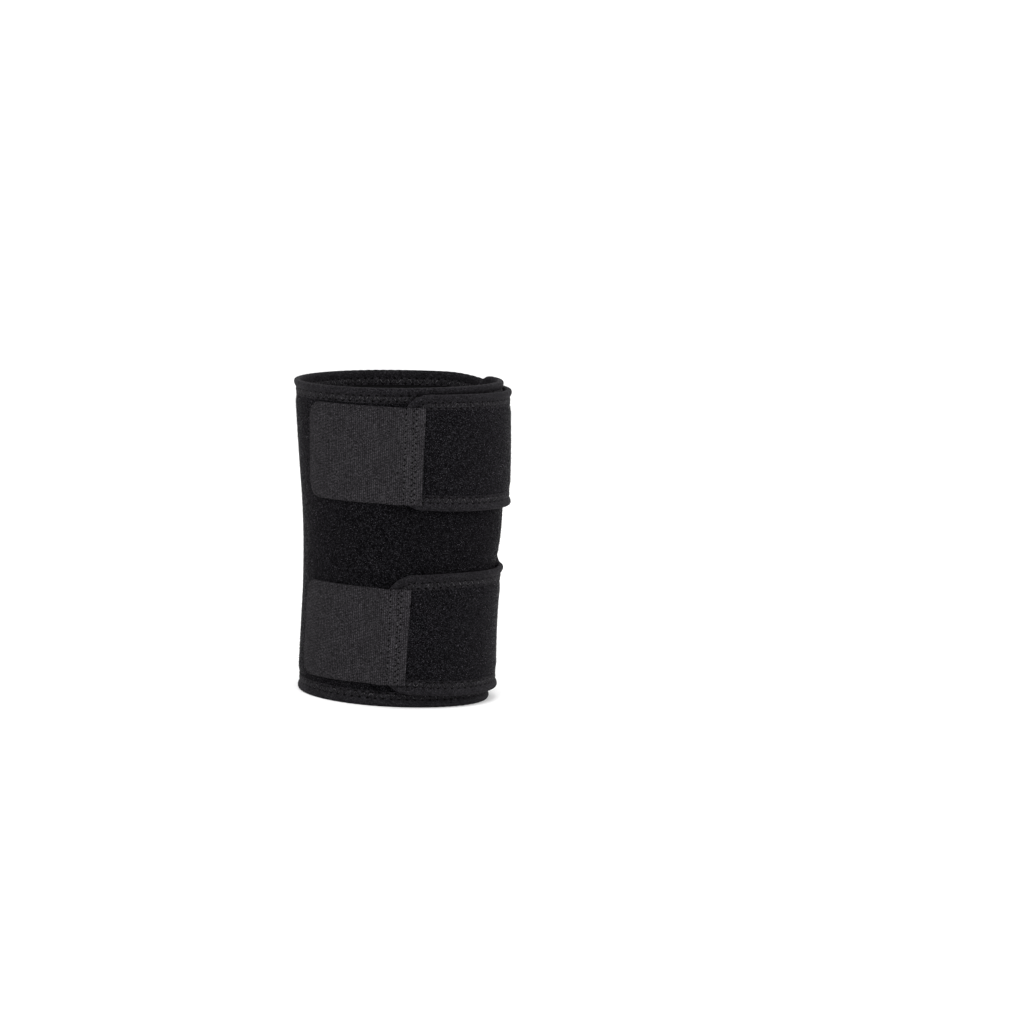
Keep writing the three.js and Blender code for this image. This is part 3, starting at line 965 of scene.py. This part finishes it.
# Strap binding: the same knitted tape, folded over both edges of a strap and round its end, and sewn
# with the same zigzag. It stands a little free, and is pressed flat under the hook tab.
STRAP_EDGE_POINTS = 90
for strap in STRAPS:
    scale = strap_scale(strap)
    halves = []
    for start in (SEAM, notch_start):
        root = (strap["end"] - start) * scale - TAPE_CLEAR
        straight = np.linspace(root, CORNER, STRAP_EDGE_POINTS)[:-1]
        from_end, inset, around, inward = side_and_corner(straight)
        inset = inset + strap_narrowing(strap, from_end)
        halves.append((strap["end"] - from_end / scale, inset, -around, inward))
    top, bottom = halves if strap is UPPER else halves[::-1]
    wind = np.concatenate([top[0], bottom[0][::-1]])
    height = np.concatenate([strap["high"] - top[1], (strap["low"] + bottom[1])[::-1]])
    around = np.concatenate([top[2], bottom[2][::-1]])
    inward = np.concatenate([-top[3], bottom[3][::-1]])
    freedom = 1 - under_tab(strap, wind, height)
    bind(f"{strap['name']}_strap_binding", tape_path(wind, height, around, inward, freedom))

# Hook tabs: charcoal hook tape with a finely ribbed woven back outward, sewn on the end of each strap
# with one single and one double row of stitches. They step down and grip the loop face of the panel.
HOOK_TAPE = 1.3 * MM  # its thickness
TAB_HEIGHT = 50.5 * MM
TAB_CORNER = 8 * MM
TAB_SLANT = 1.0 * MM  # the sewn edge is cut this much out of square
TAB_EDGE = 0.35 * MM  # rounding of its cut edges
TAB_EDGE_ANGLE = 50
TAB_STEP = 0.3  # it steps down from here, in degrees past the end of the strap
TAB_RAMP = 10 * MM  # over this length
TAB_ON_STRAP = 7.4 * MM  # from this distance out from the hollow
TAB_ON_PANEL = 3.3 * MM  # to this one
TAB_COLUMNS = 96
TAB_ROWS = 72
TAB_SEAM = 2.5 * MM  # from the end of the strap to the first needle row
TAB_NEEDLES = [(0.0, 0.0), (3.9 * MM, 0.45), (5.3 * MM, 0.05)]  # needle rows: place across and start
TAB_NEEDLE = 0.38 * MM  # size of a needle hole
TAB_DENT = 0.16 * MM  # how far a needle row draws the tape down
TAB_STITCH = 2.95 * MM  # length of one stitch
TAB_STITCH_BED = 0.22 * MM
TAB_STITCH_RISE = 0.2 * MM
RIB = 1.04 * MM  # from one rib of the weave to the next
RIB_SPECK = (RIB / 2, 0.36 * MM, 1)  # one speck of it, across and up, with no depth
TWILL = 1.64 * MM  # from one diagonal of the weave to the next, up a rib
TWILL_SLOPE = 0.35  # how steeply the diagonals climb towards the sewn end


def hook_back():
    """Woven back of the hook tape: fine upright ribs of small specks, crossed by faint diagonals, with the
    holes of its seam, and a little lighter towards the sewn end from about its first needle row. The ribs,
    diagonals and specks are darker in their grooves as painted shade, and the holes are painted dark as
    painted shade."""
    material, tree, shader = finish_named("hook_back", {
        "Base Color": (0.016, 0.0155, 0.0165, 1),
        "Roughness": 0.7,
        "Specular IOR Level": 0.02,
        "Sheen Weight": 0.002,
        "Sheen Tint": (1.0, 0.95, 1.0, 1),
    })
    flat, from_row, climb = flat_place(tree)
    rib = zigzag_of(tree, from_row, RIB)
    twill = zigzag_of(tree, work_out(tree, "MULTIPLY_ADD", from_row, -TWILL_SLOPE, climb), TWILL)
    specks, dome = tufts_at(tree, flat, RIB_SPECK, randomness=0.7)
    # Painted shade: the colour rises and falls with the ribs and diagonals, darker in their grooves
    crossed = work_out(tree, "MULTIPLY", rib, work_out(tree, "MULTIPLY_ADD", twill, 1.6, 0.95))
    woven = work_out(tree, "MULTIPLY_ADD", specks, 0.85, crossed)
    tone = work_out(tree, "MULTIPLY_ADD", noise_at(tree, flat, per_metre=90), 0.25, woven)
    # Lighter towards the sewn end, from about the first needle row on
    lighter_at_sewn_end = add_node(tree, "ShaderNodeMapRange", interpolation_type="SMOOTHSTEP")
    lighter_at_sewn_end.inputs["From Min"].default_value = -TAB_SEAM
    lighter_at_sewn_end.inputs["From Max"].default_value = TAB_SEAM
    tree.links.new(from_row, lighter_at_sewn_end.inputs["Value"])
    tone = work_out(tree, "MULTIPLY_ADD", lighter_at_sewn_end.outputs["Result"], 0.11, tone)
    shade = graded(tree, work_out(tree, "MULTIPLY", tone, 0.6), [
        (0.15, (0.0069, 0.0064, 0.0072)),
        (0.55, (0.0211, 0.0198, 0.0221)),
        (0.75, (0.0354, 0.0334, 0.0370)),
        (0.90, (0.0630, 0.0597, 0.0656)),
    ])
    # Painted shade: the colour is multiplied by each speck's dome, darker between the specks
    shade = darkened(tree, shade, dome)
    holes = [needle_row(tree, climb, from_row, row, TAB_STITCH, start) for row, start in TAB_NEEDLES]
    tree.links.new(pierced(tree, shade, holes, TAB_NEEDLE), shader.inputs["Base Color"])
    raised(tree, shader, work_out(tree, "MULTIPLY_ADD", rib, 0.8, dome), depth=0.15 * MM)
    return material


def on_tab(strap, from_end, climb, proud):
    """Points on the tab's outer face, which steps down past the end of the strap."""
    length = strap["tab_length"]
    height = strap["tab_low"] + climb + strap["tab_rise"] * (from_end / length - 0.5)
    per_degree = run_per_degree(strap["tab_middle"], height, TAB_ON_PANEL)
    wind = strap["tab_middle"] + (length / 2 - from_end) / per_degree
    step = strap["end"] + TAB_STEP
    down = ease(wind, step, step + TAB_RAMP / strap_scale(strap))
    face = TAB_ON_STRAP + (TAB_ON_PANEL - TAB_ON_STRAP) * down + HOOK_TAPE
    return wound(wind, height, face + proud)


def first_needle_row(strap):
    """Distance of a tab's first needle row from its free end, just past the end of the strap."""
    middle = strap["tab_low"] + TAB_HEIGHT / 2
    per_degree = float(run_per_degree(strap["tab_middle"], middle, TAB_ON_PANEL))
    strap_end = strap["tab_length"] / 2 + (strap["tab_middle"] - strap["end"]) * per_degree
    return strap_end + TAB_SEAM


def sew_tab(strap, first_row):
    """One thread along each needle row of a tab."""
    threads = []
    for number, (row, start) in enumerate(TAB_NEEDLES, 1):
        climb = (np.arange(1, int(TAB_HEIGHT / TAB_STITCH)) - start) * TAB_STITCH
        from_end = np.full(len(climb), first_row + row)
        sunk = on_tab(strap, from_end, climb, -TAB_STITCH_BED)
        above = on_tab(strap, from_end, climb, MM - TAB_STITCH_BED)
        threads.append(sew(f"{strap['name']}_hook_tab_stitches_{number}", sunk, above, TAB_STITCH_RISE))
    return threads


hook_finish = hook_back()
for strap in STRAPS:
    tab, along, up, through = flat_slab(f"{strap['name']}_hook_tape", TAB_COLUMNS, TAB_ROWS)
    from_end = (strap["tab_length"] + TAB_SLANT * (up - 0.5)) * along
    inset = corner_inset(TAB_CORNER, from_end)
    climb = inset + up * (TAB_HEIGHT - 2 * inset)
    first_row = first_needle_row(strap)
    dent = sum(np.exp(-((from_end - first_row - row) / DENT_REACH) ** 2) for row, _ in TAB_NEEDLES)
    proud = (through - 0.5) * HOOK_TAPE - TAB_DENT * dent * (through + 0.5)
    flat = np.stack([from_end - first_row, climb], -1)
    wind_on(tab, on_tab(strap, from_end, climb, proud), flat)
    bpy.ops.object.modifier_add(type="BEVEL")
    tab.modifiers[-1].width = TAB_EDGE
    tab.modifiers[-1].segments = 2
    tab.modifiers[-1].angle_limit = radians(TAB_EDGE_ANGLE)
    bpy.ops.object.modifier_apply(modifier=tab.modifiers[-1].name)
    tab.data.materials.append(hook_finish)
    threads = sew_tab(strap, first_row)
    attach(tab, "root")
    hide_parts(f"{strap['name']}_hook_tab")

# Floor and light: a wide white floor that runs out into a plain white surround, with broad soft lights
# above and to both sides.
FLOOR_RADIUS = 60
FLOOR_SIDES = 96
FLOOR_WHITE = (0.86, 0.86, 0.86, 1)
SURROUND_STRENGTH = 1.2
LIGHT_AIM = (0, 0, 0.08)
LIGHTS = [  # name, place, size and power
    ("key", (-0.35, -1.3, 1.35), (1.3, 0.9), 22),
    ("fill", (0.9, -1.5, 0.8), (1.0, 1.0), 8),
    ("left_side", (-1.6, 0.3, 0.9), (0.9, 1.4), 4),
    ("right_side", (1.5, 0.6, 0.8), (0.9, 1.4), 11),
]
bpy.ops.object.select_all(action="DESELECT")
bpy.ops.mesh.primitive_circle_add(vertices=FLOOR_SIDES, radius=FLOOR_RADIUS, fill_type="NGON")
floor = bpy.context.object
floor.name = "floor"
paint = {"Base Color": FLOOR_WHITE, "Roughness": 0.9, "Specular IOR Level": 0.2}
floor.data.materials.append(finish_named("floor_paint", paint)[0])

for name, place, size, power in LIGHTS:
    bpy.ops.object.light_add(type="AREA", location=place)
    light = bpy.context.object
    light.name = name
    light.data.shape = "RECTANGLE"
    light.data.size, light.data.size_y = size
    light.data.energy = power
    light.visible_camera = False
    light.rotation_euler = (Vector(LIGHT_AIM) - Vector(place)).to_track_quat("-Z", "Y").to_euler()

world = bpy.data.worlds.new("surround")
world.use_nodes = True
background = world.node_tree.nodes["Background"]
background.inputs["Color"].default_value = (1, 1, 1, 1)
background.inputs["Strength"].default_value = SURROUND_STRENGTH
bpy.context.scene.world = world
bpy.context.scene.view_settings.view_transform = "Standard"
